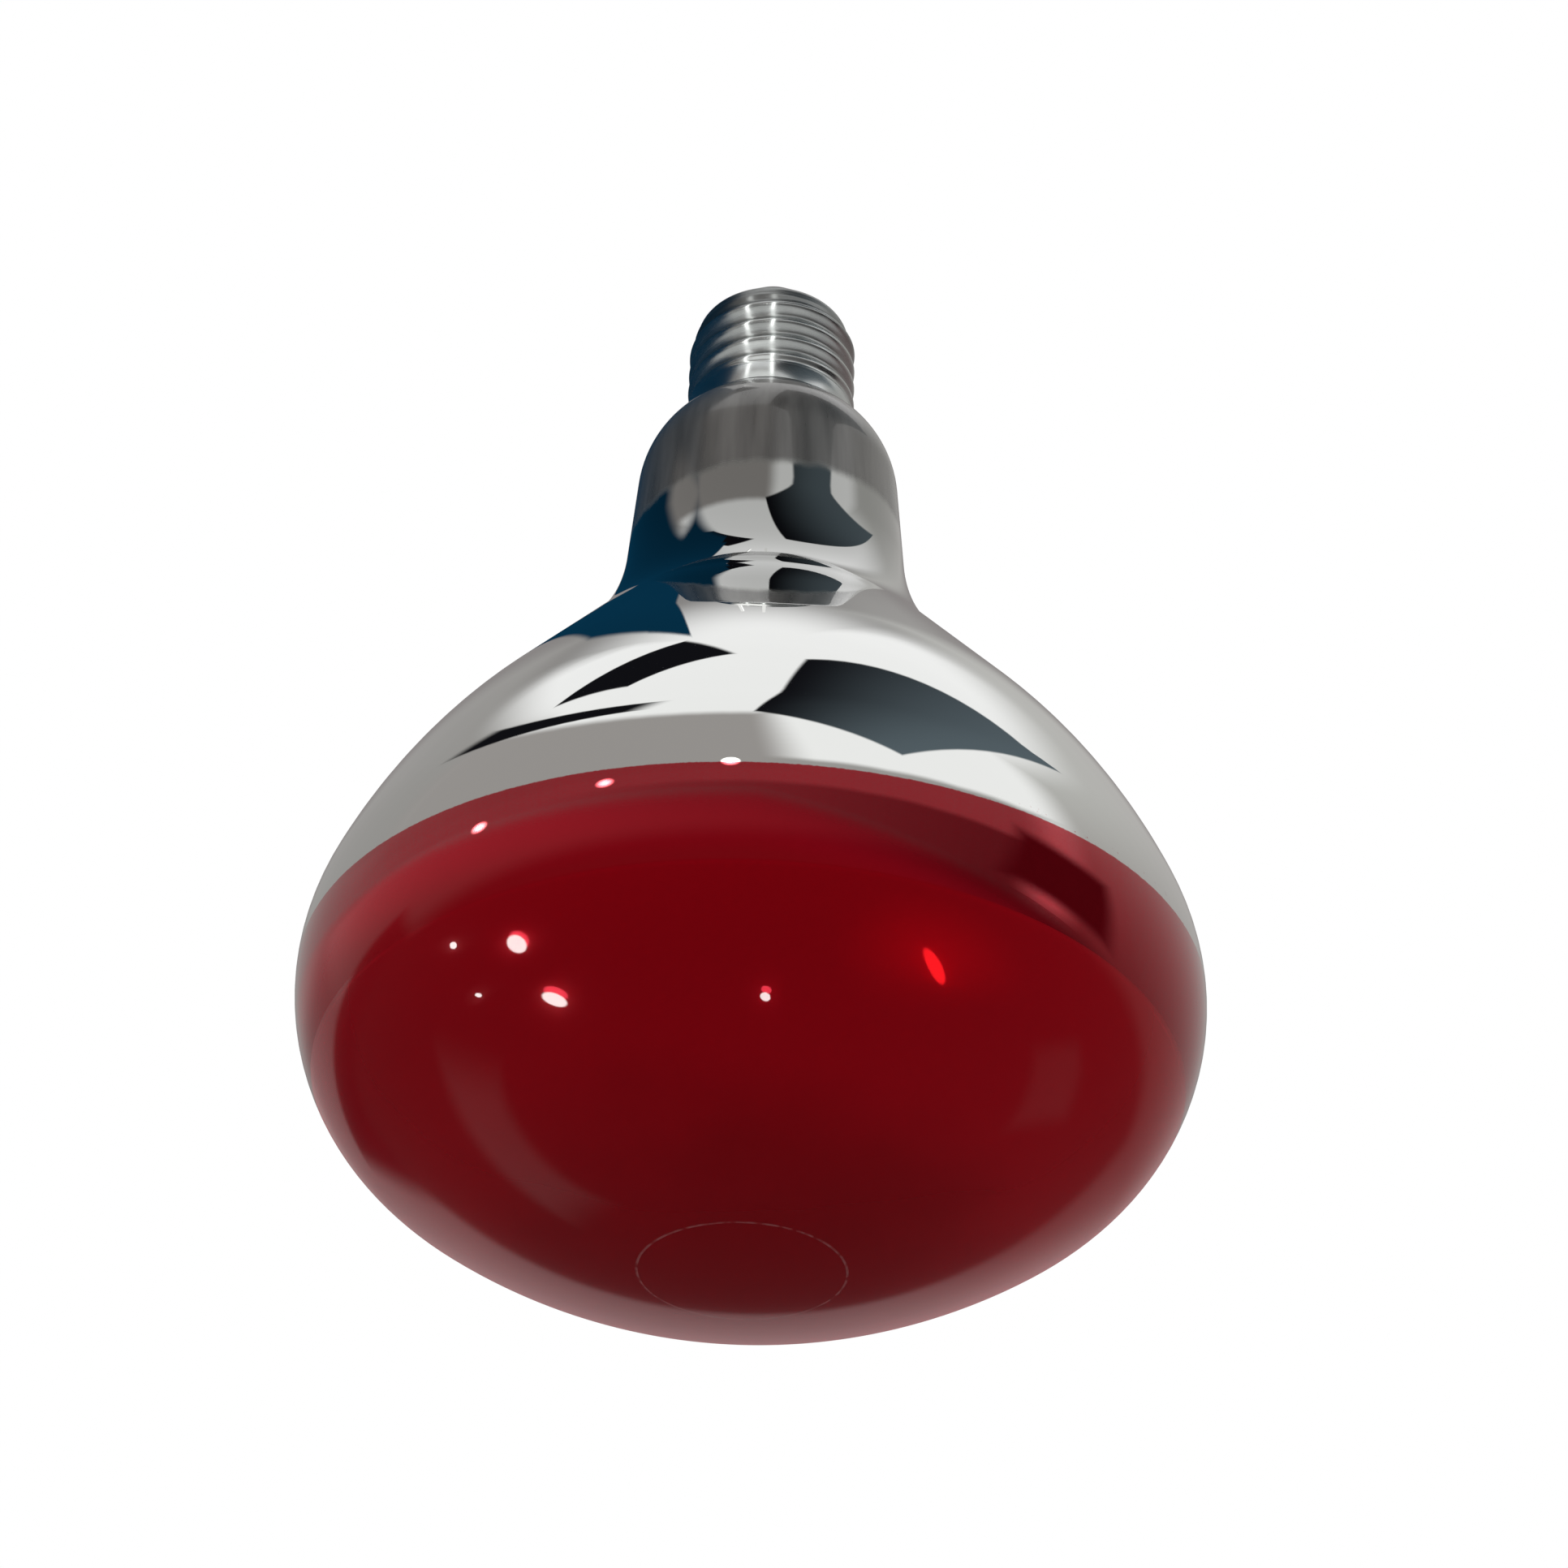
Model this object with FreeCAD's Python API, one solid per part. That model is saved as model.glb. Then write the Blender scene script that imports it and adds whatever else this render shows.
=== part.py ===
import FreeCAD, Part
import math
import os
from FreeCAD import Vector

# Infrared reflector lamp, in millimetres. The origin is the middle of the centre contact's
# face, +Z points out of the cap, and the lamp hangs below it with its red face down.
# Heights named "drop" are measured downwards from the origin.

# Screw cap, Edison 27 mm: a rolled sheet shell, a glass insulator and a soldered contact
CREST_RADIUS = 13.1
THREAD_DEPTH = 1.0
ROOT_RADIUS = CREST_RADIUS - THREAD_DEPTH
THREAD_PITCH = 3.629
FRONT_CREST_DROP = 11.72      # first crest on the front of the cap
THREAD_LENGTH = 15.6
THREAD_RINGS_PER_TURN = 10
SHEET = 0.3
SKIRT_LENGTH = 3.0
END_ROUND = 2.5               # bend between the thread and the shell's conical end
END_SLOPE = 45.0              # degrees above the horizontal
LIP_RADIUS = 8.4              # where the shell's end stops on the insulator
CONTACT_RADIUS = 5.0
CONTACT_THICKNESS = 0.5
CONTACT_ROUND = 0.25
EYELET_RADIUS = 1.2
SOLDER_RADIUS = 2.8
SOLDER_FLAT_RADIUS = 2.0
SOLDER_HEIGHT = 0.6
SOLDER_SWELL = 0.1            # of its sloping edge, above a straight line
INSULATOR_MARGIN = 0.6        # insulator seen round the contact plate
INSULATOR_DEPTH = 4.0
INSULATOR_WALL = 1.6
LEAD_HOLE_RADIUS = 0.9
RIM_SOLDER_RADIUS = 1.8
RIM_SOLDER_PROUD = 0.9

# Glass envelope, blown in one piece: collar, shoulder, neck, reflector bowl and face
WALL = 0.9
COLLAR_GAP = 0.8              # room for a lead between the thread's inside and the collar
COLLAR_RADIUS = ROOT_RADIUS - SHEET - COLLAR_GAP  # reduced end inside the cap, closed by the stem
COLLAR_LENGTH = 7.3           # from the cap's rim up to the stem's lip
COLLAR_FILLET = 1.2
SHOULDER_RADIUS = 17.5
NECK_RADIUS = 20.0            # at the top of the neck's straight stretch
NECK_LENGTH = 15.0
NECK_TAPER = 4.0              # degrees
NECK_FILLET = 40.0
CONE_ANGLE = 39.1             # degrees between the axis and the bowl's straight stretch
BOWL_ARC = 98.8
BOWL_RADIUS = 62.5
EDGE_TURN = 20.7              # degrees above the widest circle where the edge's arc starts
EDGE_RADIUS = 29.4
FACE_RADIUS = 84.3
RIM_SEAT = 0.05               # between the cap's rim and the glass shoulder

# Glass stem: a flared tube, flattened round the wires, with an exhaust tube and a rod
LIP_THICKNESS = 1.0
LIP_LAND = 2.0                # flat of the lip that is fused to the collar
TUBE_RADIUS = 6.2
TUBE_LENGTH = 19.0
PRESS_BLEND = 5.0             # where the round tube turns flat
PRESS_LENGTH = 6.0
PRESS_WIDTH = 15.0
PRESS_THICKNESS = 4.4
EXHAUST_RADIUS = 2.2
EXHAUST_BORE = 1.4
EXHAUST_LENGTH = 27.0
EXHAUST_TIP = 4.4             # drawn-off point of the tube
EXHAUST_TIP_WALL = 2.2
EXHAUST_HOLE_RADIUS = 1.1
EXHAUST_HOLE_DROP = 2.6       # below the tube's blind end
ROD_RADIUS = 1.75
ROD_LENGTH = 17.0
BUTTON_RADIUS = 3.0

# Wires, coil and heat deflector
LEAD_SPACING = 8.0
INNER_LEAD_RADIUS = 0.4
SEAL_WIRE_RADIUS = 0.25
OUTER_LEAD_RADIUS = 0.25
LEAD_BEND = 1.5
LEAD_BELOW_INSULATOR = 3.0
SHELL_LEAD_BEND = 0.5
LEAD_OVER_LIP = 3.5           # how far the shell's lead rises above the stem's lip
LEAD_IN_SOLDER = 0.5
INNER_LEAD_STRAIGHT = 15.0
COIL_RADIUS = 0.9
WREATH_RADIUS = 14.0
WREATH_GAP = 120.0            # degrees left open towards +X
WREATH_DROP = 12.0            # below the button
SUPPORT_COUNT = 4
SUPPORT_RADIUS = 0.2
SUPPORT_BEND = 3.0
SUPPORT_REACH = 4.0           # straight run out of the button
SUPPORT_SEAT = 1.2            # length held in the button
EYE_CLEARANCE = 0.05
EYE_FROM_END = 4.0            # degrees between a lead's eye and the coil's end
DEFLECTOR_THICKNESS = 0.4
DEFLECTOR_GAP = 1.6           # to the inside of the neck
DEFLECTOR_DROP = 5.0          # below the press
SHEET_HOLE_GAP = 0.1          # round a rod or lead that passes through sheet

AXIS = Vector(0, 0, 1)


def level(z):
    """The point of the axis at a height."""
    return Vector(0, 0, z)


def polar(angle):
    """Unit vector in the XZ half-plane, at an angle in degrees above the horizontal."""
    return Vector(math.cos(math.radians(angle)), 0, math.sin(math.radians(angle)))


def around(angle):
    """Unit vector in the XY plane, at an angle in degrees from +X."""
    return Vector(math.cos(math.radians(angle)), math.sin(math.radians(angle)), 0)


def line(start, end):
    return Part.LineSegment(start, end).toShape()


def lines(*points):
    """Straight edges from each point to the next."""
    return [line(a, b) for a, b in zip(points, points[1:])]


def arc(centre, radius, start, end):
    """Arc in the XZ half-plane between two angles in degrees."""
    return Part.Arc(*(centre + polar(a) * radius for a in (start, (start + end) / 2, end))).toShape()


def turned(edges):
    """Solid of revolution about the axis from the edges of a closed section."""
    section = Part.Face(Part.Wire(Part.__sortEdges__(edges)))
    return section.revolve(Vector(), AXIS, 360)


def turned_polygon(*corners):
    """Solid of revolution from (radius, height) corners joined by straight lines."""
    points = [Vector(r, 0, z) for r, z in corners]
    return turned(lines(*points, points[0]))


def bent_wire(points, bend, radius):
    """Round wire along straight runs, with one bend radius at every corner."""
    edges = []
    start = points[0]
    for before, corner, after in zip(points, points[1:], points[2:]):
        back = (before - corner).normalize()
        ahead = (after - corner).normalize()
        half = back.getAngle(ahead) / 2
        reach = bend / math.tan(half)
        middle = corner + (back + ahead).normalize() * (bend / math.sin(half) - bend)
        end = corner + ahead * reach
        edges.append(line(start, corner + back * reach))
        edges.append(Part.Arc(corner + back * reach, middle, end).toShape())
        start = end
    edges.append(line(start, points[-1]))
    section = Part.Wire(Part.makeCircle(radius, points[0], points[1] - points[0]))
    return Part.Wire(edges).makePipeShell([section], True, False)


# Heights down the cap
contact_z = -SOLDER_HEIGHT
insulator_z = contact_z - CONTACT_THICKNESS
cone_top_r = ROOT_RADIUS - END_ROUND + END_ROUND * math.cos(math.radians(END_SLOPE))
lip_z = insulator_z - (LIP_RADIUS - CONTACT_RADIUS - INSULATOR_MARGIN) * math.tan(math.radians(END_SLOPE))
cone_top_z = lip_z - (cone_top_r - LIP_RADIUS) * math.tan(math.radians(END_SLOPE))
end_centre = Vector(ROOT_RADIUS - END_ROUND, 0, cone_top_z - END_ROUND * math.sin(math.radians(END_SLOPE)))
thread_top_z = end_centre.z
thread_bottom_z = thread_top_z - THREAD_LENGTH
rim_z = thread_bottom_z - SKIRT_LENGTH
skirt_inner = CREST_RADIUS - SHEET

# Centres of the envelope's arcs, from the cap's rim down to the face
collar_top_z = rim_z + COLLAR_LENGTH
neck_normal = polar(NECK_TAPER)
cone_normal = polar(CONE_ANGLE)
edge_normal = polar(EDGE_TURN)
shoulder_r = NECK_RADIUS - SHOULDER_RADIUS * neck_normal.x
shoulder_rise = math.sqrt(SHOULDER_RADIUS ** 2 - (skirt_inner - shoulder_r) ** 2)
shoulder_centre = Vector(shoulder_r, 0, rim_z - RIM_SEAT - shoulder_rise)
collar_r = COLLAR_RADIUS + COLLAR_FILLET
collar_rise = math.sqrt((SHOULDER_RADIUS + COLLAR_FILLET) ** 2 - (collar_r - shoulder_r) ** 2)
collar_centre = Vector(collar_r, 0, shoulder_centre.z + collar_rise)
collar_angle = math.degrees(math.atan2(collar_rise, collar_r - shoulder_r))
neck_top = shoulder_centre + neck_normal * SHOULDER_RADIUS
neck_end = neck_top + polar(NECK_TAPER - 90) * NECK_LENGTH
fillet_centre = neck_end + neck_normal * NECK_FILLET
cone_start = fillet_centre - cone_normal * NECK_FILLET
edge_r = BOWL_RADIUS - EDGE_RADIUS
bowl_r = edge_r - (BOWL_ARC - EDGE_RADIUS) * edge_normal.x
cone_end_r = bowl_r + BOWL_ARC * cone_normal.x
cone_end = cone_start + polar(CONE_ANGLE - 90) * ((cone_end_r - cone_start.x) / cone_normal.z)
bowl_centre = cone_end - cone_normal * BOWL_ARC
edge_centre = bowl_centre + edge_normal * (BOWL_ARC - EDGE_RADIUS)
face_rise = math.sqrt((FACE_RADIUS - EDGE_RADIUS) ** 2 - edge_r ** 2)
face_centre = level(edge_centre.z + face_rise)
face_angle = -math.degrees(math.atan2(face_rise, edge_r))

# Heights down the stem and the mount
lip_top_z = collar_top_z + LIP_THICKNESS
flare_r = COLLAR_RADIUS - LIP_LAND
flare_radius = flare_r - TUBE_RADIUS
tube_z = collar_top_z - flare_radius
blind_z = tube_z - TUBE_LENGTH
press_z = blind_z - PRESS_BLEND - PRESS_LENGTH
button_z = press_z - ROD_LENGTH
wreath_z = button_z - WREATH_DROP
lead_y = LEAD_SPACING / 2
bore_radius = TUBE_RADIUS - LIP_THICKNESS
wreath_span = 360 - WREATH_GAP
lead_exit_z = collar_centre.z  # where the shell's lead leaves, clear of the collar's fillet


def bulb_outline(inset):
    """Edges of the glass wall from the collar to the pole, set in from its outside."""
    collar = COLLAR_RADIUS - inset
    return [
        line(Vector(collar, 0, collar_top_z), Vector(collar, 0, collar_centre.z)),
        arc(collar_centre, COLLAR_FILLET + inset, 180, 180 + collar_angle),
        arc(shoulder_centre, SHOULDER_RADIUS - inset, collar_angle, NECK_TAPER),
        line(neck_top - neck_normal * inset, neck_end - neck_normal * inset),
        arc(fillet_centre, NECK_FILLET + inset, 180 + NECK_TAPER, 180 + CONE_ANGLE),
        line(cone_start - cone_normal * inset, cone_end - cone_normal * inset),
        arc(bowl_centre, BOWL_ARC - inset, CONE_ANGLE, EDGE_TURN),
        arc(edge_centre, EDGE_RADIUS - inset, EDGE_TURN, face_angle),
        arc(face_centre, FACE_RADIUS - inset, face_angle, -90),
    ]


def make_envelope():
    """The blown bulb: one wall, open only at the collar."""
    pole = face_centre.z - FACE_RADIUS
    mouth = line(Vector(COLLAR_RADIUS, 0, collar_top_z), Vector(COLLAR_RADIUS - WALL, 0, collar_top_z))
    return turned(bulb_outline(0) + bulb_outline(WALL) + [mouth, line(level(pole), level(pole + WALL))])


def thread_ring(z, inset):
    """The rolled sheet's circle at a height: off-centre, turning once about the axis in each pitch."""
    run_out = THREAD_PITCH / 2
    high = ROOT_RADIUS + THREAD_DEPTH * min(1, (thread_top_z - z) / run_out)
    low = CREST_RADIUS - THREAD_DEPTH * min(1, (z - thread_bottom_z) / run_out)
    turn = 360 * (z + FRONT_CREST_DROP) / THREAD_PITCH - 90
    return Part.Wire(Part.makeCircle((high + low) / 2 - inset, level(z) + around(turn) * ((high - low) / 2)))


def thread_surface(inset):
    """Knuckle thread: a loft through off-centre circles, plain at both ends."""
    steps = round(THREAD_LENGTH / THREAD_PITCH * THREAD_RINGS_PER_TURN)
    heights = [thread_top_z - THREAD_LENGTH * step / steps for step in range(steps + 1)]
    return Part.makeLoft([thread_ring(z, inset) for z in heights], False, True)


def shell_end(inset):
    """Edges of the shell's conical end, from the thread up to the lip, and the lip's point."""
    slope = polar(END_SLOPE)
    lip = Vector(LIP_RADIUS, 0, lip_z) - slope * inset
    cone = end_centre + slope * (END_ROUND - inset)
    return [arc(end_centre, END_ROUND - inset, 0, END_SLOPE), line(cone, lip)], lip


def make_screw_shell(lead_slot):
    """Rolled sheet shell: conical end, knuckle thread and plain skirt, slotted for a lead."""
    lathed = []
    threads = []
    lips = []
    rims = []
    for inset in (0, SHEET):
        end, lip = shell_end(inset)
        rim = Vector(CREST_RADIUS - inset, 0, rim_z)
        lathed += end + [line(Vector(rim.x, 0, thread_bottom_z), rim)]
        threads += thread_surface(inset).Faces
        lips.append(lip)
        rims.append(rim)
    lathed += [line(*lips), line(*rims)]
    faces = threads + [edge.revolve(Vector(), AXIS, 360) for edge in lathed]
    sheet = Part.makeShell(faces)
    sheet.sewShape()
    shell = Part.makeSolid(sheet)
    return shell.cut(lead_slot)


def make_cap_insulator():
    """Glass moulded into the shell's end, dished inside, with a hole for the centre lead."""
    moulded, lip = shell_end(SHEET)
    foot_r = ROOT_RADIUS - SHEET
    corners = [(foot_r, thread_top_z), (foot_r - INSULATOR_WALL, thread_top_z),
               (EYELET_RADIUS + INSULATOR_WALL, insulator_z - INSULATOR_DEPTH),
               (LEAD_HOLE_RADIUS, insulator_z - INSULATOR_DEPTH), (LEAD_HOLE_RADIUS, insulator_z),
               (CONTACT_RADIUS + INSULATOR_MARGIN, insulator_z), (LIP_RADIUS, lip_z)]
    return turned(moulded + lines(*(Vector(r, 0, z) for r, z in corners), lip))


def make_centre_contact():
    """Contact plate with a rounded rim and an eyelet for the lead."""
    bend = Vector(CONTACT_RADIUS - CONTACT_ROUND, 0, contact_z - CONTACT_ROUND)
    section = lines(Vector(bend.x, 0, contact_z), Vector(EYELET_RADIUS, 0, contact_z),
                    Vector(EYELET_RADIUS, 0, insulator_z), Vector(CONTACT_RADIUS, 0, insulator_z),
                    Vector(CONTACT_RADIUS, 0, bend.z))
    return turned(section + [arc(bend, CONTACT_ROUND, 0, 90)])


def make_contact_solder():
    """Solder that fills the eyelet and stands on the plate with a flat top."""
    edge = Vector(SOLDER_RADIUS, 0, contact_z)
    flat = Vector(SOLDER_FLAT_RADIUS, 0, 0)
    side = Part.Arc(edge, (edge + flat) / 2 + AXIS * SOLDER_SWELL, flat).toShape()
    return turned([side] + lines(flat, Vector(), level(insulator_z), Vector(EYELET_RADIUS, 0, insulator_z),
                                 Vector(EYELET_RADIUS, 0, contact_z), edge))


def press_slot(z):
    """Outline of the flattened stem at a height: two flats along Y with round ends."""
    half = PRESS_THICKNESS / 2
    flat = PRESS_WIDTH / 2 - half
    corners = [Vector(half, -flat, z), Vector(half, flat, z), Vector(-half, flat, z), Vector(-half, -flat, z)]
    ends = [Vector(0, PRESS_WIDTH / 2, z), Vector(0, -PRESS_WIDTH / 2, z)]
    return Part.Wire([line(corners[0], corners[1]), Part.Arc(corners[1], ends[0], corners[2]).toShape(),
                      line(corners[2], corners[3]), Part.Arc(corners[3], ends[1], corners[0]).toShape()])


def tube_circle(z):
    """The round tube's outline, in four arcs that match the flattened outline's four sides."""
    corner = math.degrees(math.atan2(PRESS_WIDTH - PRESS_THICKNESS, PRESS_THICKNESS))
    turns = [-corner, corner, 180 - corner, 180 + corner, 360 - corner]
    arcs = []
    for start, end in zip(turns, turns[1:]):
        points = [level(z) + around(a) * TUBE_RADIUS for a in (start, (start + end) / 2, end)]
        arcs.append(Part.Arc(*points).toShape())
    return Part.Wire(arcs)


def make_stem(seal_wires):
    """Flared tube whose blind end is pressed flat round the seal wires."""
    flare_centre = Vector(flare_r, 0, tube_z)
    lip = lines(Vector(flare_r, 0, lip_top_z), Vector(COLLAR_RADIUS, 0, lip_top_z),
                Vector(COLLAR_RADIUS, 0, collar_top_z), Vector(flare_r, 0, collar_top_z))
    straight = lines(Vector(TUBE_RADIUS, 0, tube_z), Vector(TUBE_RADIUS, 0, blind_z),
                     Vector(bore_radius, 0, blind_z), Vector(bore_radius, 0, tube_z))
    flare = [arc(flare_centre, radius, 90, 180) for radius in (flare_radius, flare_radius + LIP_THICKNESS)]
    tube = turned(lip + straight + flare)
    blend = Part.makeLoft([tube_circle(blind_z), press_slot(blind_z - PRESS_BLEND)], True, True)
    press = Part.Face(press_slot(press_z)).extrude(AXIS * PRESS_LENGTH)
    stem = tube.fuse([blend, press])
    duct = Part.makeCylinder(EXHAUST_BORE, EXHAUST_HOLE_DROP, level(blind_z), -AXIS)
    outlet_centre = level(blind_z - EXHAUST_HOLE_DROP)
    outlet = Part.makeCylinder(EXHAUST_HOLE_RADIUS, TUBE_RADIUS, outlet_centre, around(0))
    return stem.cut([duct, outlet] + seal_wires)


def make_exhaust_tube():
    """Tube that the lamp was pumped through, drawn off to a closed tip in the cap."""
    top = blind_z + EXHAUST_LENGTH
    tip_z = top - EXHAUST_TIP
    return turned_polygon((EXHAUST_BORE, blind_z), (EXHAUST_RADIUS, blind_z), (EXHAUST_RADIUS, tip_z),
                          (0, top), (0, top - EXHAUST_TIP_WALL), (EXHAUST_BORE, tip_z))


def make_button_rod(support_wires):
    """Glass rod below the press, with a ball at its end that holds the supports."""
    rod = Part.makeCylinder(ROD_RADIUS, ROD_LENGTH, level(button_z))
    return rod.fuse(Part.makeSphere(BUTTON_RADIUS, level(button_z))).cut(support_wires)


def make_filament():
    """The coil's outer form: part of a ring, open towards +X."""
    centre = Vector(WREATH_RADIUS, 0, wreath_z)
    section = Part.Face(Part.Wire(Part.makeCircle(COIL_RADIUS, centre, around(90))))
    coil = section.revolve(Vector(), AXIS, wreath_span)
    return coil.rotate(Vector(), AXIS, WREATH_GAP / 2)


def eye_wire(points, bend, radius, turn):
    """Wire that ends in an eye round the coil, at an angle round the axis."""
    eye_radius = COIL_RADIUS + EYE_CLEARANCE + radius
    centre = level(wreath_z) + around(turn) * WREATH_RADIUS
    eye = Part.makeTorus(eye_radius, radius, centre, around(turn + 90))
    return bent_wire(points + [centre + AXIS * eye_radius], bend, radius).fuse(eye)


def make_support_wires():
    """Supports spread evenly along the coil, each set in the button."""
    step = wreath_span / (SUPPORT_COUNT + 1)
    wires = []
    for index in range(SUPPORT_COUNT):
        turn = WREATH_GAP / 2 + step * (index + 1)
        seat = level(button_z) + around(turn) * (BUTTON_RADIUS - SUPPORT_SEAT)
        knee = level(button_z) + around(turn) * (BUTTON_RADIUS + SUPPORT_REACH)
        wires.append(eye_wire([seat, knee], SUPPORT_BEND, SUPPORT_RADIUS, turn))
    return wires


def make_inner_lead(side):
    """Lead from the press to the coil's end; side is -1 at the front and 1 at the back."""
    start = Vector(0, side * lead_y, press_z)
    turn = side * (WREATH_GAP / 2 + EYE_FROM_END)
    return eye_wire([start, start - AXIS * INNER_LEAD_STRAIGHT], SUPPORT_BEND, INNER_LEAD_RADIUS, turn)


def make_seal_wire(side):
    """Wire sealed in the press, between an inner and an outer lead."""
    return Part.makeCylinder(SEAL_WIRE_RADIUS, blind_z - press_z, Vector(0, side * lead_y, press_z))


def make_contact_lead():
    """Outer lead from the stem's front up through the insulator to the contact's solder."""
    knee_z = insulator_z - INSULATOR_DEPTH - LEAD_BELOW_INSULATOR
    return bent_wire([Vector(0, -lead_y, blind_z), Vector(0, -lead_y, knee_z - lead_y), level(knee_z),
                      level(insulator_z)], LEAD_BEND, OUTER_LEAD_RADIUS)


def make_shell_lead():
    """Outer lead from the stem's back, over its lip and down outside the collar to the skirt."""
    top_z = lip_top_z + LEAD_OVER_LIP
    gap_y = COLLAR_RADIUS + COLLAR_GAP / 2
    return bent_wire([Vector(0, lead_y, blind_z), Vector(0, lead_y, top_z), Vector(0, gap_y, top_z),
                      Vector(0, gap_y, lead_exit_z), Vector(0, CREST_RADIUS + LEAD_IN_SOLDER, lead_exit_z)],
                     SHELL_LEAD_BEND, OUTER_LEAD_RADIUS)


def make_lead_slot():
    """Cut for the lead, from the skirt's rim at the back up to its exit."""
    half = OUTER_LEAD_RADIUS + SHEET_HOLE_GAP
    corner = Vector(-half, skirt_inner - SHEET, rim_z)
    return Part.makeBox(half * 2, CREST_RADIUS + SHEET - corner.y, lead_exit_z + half - rim_z, corner)


def make_rim_solder(envelope, shell_lead):
    """Drop of solder on the skirt, over the slot and the end of the lead, clear of the glass."""
    centre = Vector(0, CREST_RADIUS + RIM_SOLDER_PROUD - RIM_SOLDER_RADIUS, lead_exit_z)
    skirt = Part.makeCylinder(CREST_RADIUS, RIM_SOLDER_RADIUS * 2, level(centre.z - RIM_SOLDER_RADIUS))
    return Part.makeSphere(RIM_SOLDER_RADIUS, centre).cut([skirt, shell_lead, envelope])


def make_cap_cement(envelope, shell_lead):
    """Cement between the skirt and the glass collar, round the lead."""
    ring = turned_polygon((COLLAR_RADIUS - WALL, thread_bottom_z), (skirt_inner, thread_bottom_z),
                          (skirt_inner, rim_z), (COLLAR_RADIUS - WALL, rim_z))
    fill = ring.cut(envelope).cut(shell_lead)
    return max(fill.Solids, key=lambda solid: solid.Volume)


def make_heat_deflector():
    """Disc across the neck, carried by the inner leads and the rod."""
    z = press_z - DEFLECTOR_DROP
    disc = Part.makeCylinder(NECK_RADIUS - WALL - DEFLECTOR_GAP, DEFLECTOR_THICKNESS, level(z))
    holes = [Part.makeCylinder(ROD_RADIUS + SHEET_HOLE_GAP, DEFLECTOR_THICKNESS, level(z))]
    for side in (-1, 1):
        place = Vector(0, side * lead_y, z)
        holes.append(Part.makeCylinder(INNER_LEAD_RADIUS + SHEET_HOLE_GAP, DEFLECTOR_THICKNESS, place))
    return disc.cut(holes)


def make_lamp():
    """Every piece of the lamp by name."""
    envelope = make_envelope()
    shell_lead = make_shell_lead()
    seal_wires = [make_seal_wire(-1), make_seal_wire(1)]
    support_wires = make_support_wires()
    pieces = {
        "envelope": envelope,
        "screw_shell": make_screw_shell(make_lead_slot()),
        "cap_insulator": make_cap_insulator(),
        "centre_contact": make_centre_contact(),
        "contact_solder": make_contact_solder(),
        "rim_solder": make_rim_solder(envelope, shell_lead),
        "cap_cement": make_cap_cement(envelope, shell_lead),
        "stem": make_stem(seal_wires),
        "exhaust_tube": make_exhaust_tube(),
        "button_rod": make_button_rod(support_wires),
        "heat_deflector": make_heat_deflector(),
        "filament": make_filament(),
        "outer_lead_contact": make_contact_lead(),
        "outer_lead_shell": shell_lead,
        "seal_wire_contact": seal_wires[0],
        "seal_wire_shell": seal_wires[1],
        "inner_lead_contact": make_inner_lead(-1),
        "inner_lead_shell": make_inner_lead(1),
    }
    for index, wire in enumerate(support_wires):
        pieces[f"support_wire_{index + 1}"] = wire
    return pieces


os.makedirs("parts", exist_ok=True)
for name, shape in make_lamp().items():
    shape.exportStep(f"parts/{name}.step")
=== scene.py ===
import math

import bpy
from bpy.props import FloatProperty, FloatVectorProperty, IntProperty, PointerProperty
from bpy.types import Operator, Panel, PropertyGroup
from mathutils import Matrix, Vector


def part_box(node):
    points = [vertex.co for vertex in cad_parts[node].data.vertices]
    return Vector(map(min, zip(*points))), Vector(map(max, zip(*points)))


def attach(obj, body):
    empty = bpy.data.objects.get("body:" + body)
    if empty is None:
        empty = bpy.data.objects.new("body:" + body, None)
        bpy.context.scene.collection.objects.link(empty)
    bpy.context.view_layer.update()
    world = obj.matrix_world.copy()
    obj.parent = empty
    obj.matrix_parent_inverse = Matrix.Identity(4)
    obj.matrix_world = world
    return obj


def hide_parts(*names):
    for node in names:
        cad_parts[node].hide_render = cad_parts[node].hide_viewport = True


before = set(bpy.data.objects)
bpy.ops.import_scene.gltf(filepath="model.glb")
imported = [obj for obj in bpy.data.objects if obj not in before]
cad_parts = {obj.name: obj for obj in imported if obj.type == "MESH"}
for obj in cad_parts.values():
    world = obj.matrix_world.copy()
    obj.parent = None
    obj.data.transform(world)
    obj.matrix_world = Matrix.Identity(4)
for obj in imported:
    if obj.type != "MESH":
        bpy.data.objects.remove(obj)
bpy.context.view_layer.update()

bl_info = {
    "name": "Infrared heat lamp",
    "version": (1, 0, 0),
    "blender": (4, 5, 0),
    "location": "3D View > Sidebar > Lamp",
    "description": "Dresses a reflector heat lamp: silvered and lacquered bulb, screw cap, coil and studio",
    "category": "Object",
}

# The lamp hangs with its cap up. Lengths are metres in the frame of the solids, whose origin is
# the middle of the centre contact's face; the front of the lamp faces -Y.

CREASE = math.radians(40)  # edges that bend more than this stay hard
POLE_SLACK = 0.0002  # how far the bulb's outline may end from the pole of its solid
SQUARE = ((-1, -1), (1, -1), (1, 1), (-1, 1))  # corners, round from the lower left
HUB = -0.12  # height on the axis from which the studio's directions are seen


def length(name, description, default):
    """A size in metres."""
    return FloatProperty(name=name, description=description, default=default, unit="LENGTH", precision=5)


def angle(name, description, degrees):
    """An angle, given in degrees."""
    return FloatProperty(name=name, description=description, default=math.radians(degrees), subtype="ANGLE")


def location(name, description, place):
    """A place in metres."""
    return FloatVectorProperty(name=name, description=description, default=place, size=3, unit="LENGTH",
                               subtype="TRANSLATION")


def amount(name, description, default):
    """A plain number that is never negative."""
    return FloatProperty(name=name, description=description, default=default, min=0, precision=3)


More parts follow.
